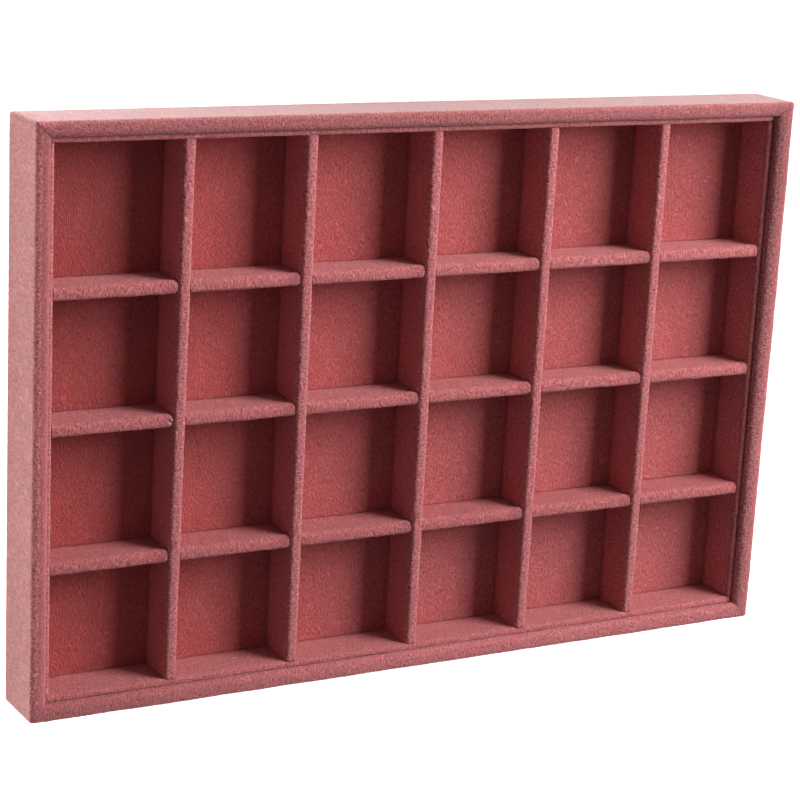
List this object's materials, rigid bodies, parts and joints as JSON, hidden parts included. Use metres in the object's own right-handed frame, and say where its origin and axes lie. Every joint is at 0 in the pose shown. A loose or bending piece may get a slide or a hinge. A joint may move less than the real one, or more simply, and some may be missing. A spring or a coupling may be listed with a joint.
{
  "type": "jewelry display tray",
  "caption": "Shallow rectangular display tray covered in short-pile velvet, divided by upright slotted dividers into small square compartments for jewelry.",
  "frame": {"origin": "centre of the underside, on the surface that the tray lies on", "axes": "+X along the long side, +Y along the short side, +Z out of the open compartments"},
  "size_m": [0.35, 0.24, 0.03],
  "materials": {
    "rose_velvet": "short-pile velvet, dusty rose",
    "white_lined_card": "matte",
    "fibreboard": "raw medium-density fibreboard",
    "underside_paper": "matte, flocked"
  },
  "bodies": {
    "root": {"underside_sheet": "underside_paper", "base_board": "fibreboard", "wall_board_back": "fibreboard", "wall_board_front": "fibreboard", "wall_board_left": "fibreboard", "wall_board_right": "fibreboard", "frame_cloth": "rose_velvet", "floor_card": "white_lined_card", "floor_cloth": "rose_velvet", "liner_card_back": "white_lined_card", "liner_card_front": "white_lined_card", "liner_card_left": "white_lined_card", "liner_card_right": "white_lined_card", "liner_cloth_back": "rose_velvet", "liner_cloth_front": "rose_velvet", "liner_cloth_left": "rose_velvet", "liner_cloth_right": "rose_velvet", "cross_divider_card_1": "white_lined_card", "cross_divider_cloth_1": "rose_velvet", "cross_divider_card_2": "white_lined_card", "cross_divider_cloth_2": "rose_velvet", "cross_divider_card_3": "white_lined_card", "cross_divider_cloth_3": "rose_velvet", "cross_divider_card_4": "white_lined_card", "cross_divider_cloth_4": "rose_velvet", "cross_divider_card_5": "white_lined_card", "cross_divider_cloth_5": "rose_velvet", "long_divider_card_1": "white_lined_card", "long_divider_cloth_1": "rose_velvet", "long_divider_card_2": "white_lined_card", "long_divider_cloth_2": "rose_velvet", "long_divider_card_3": "white_lined_card", "long_divider_cloth_3": "rose_velvet"}
  },
  "joints": []
}
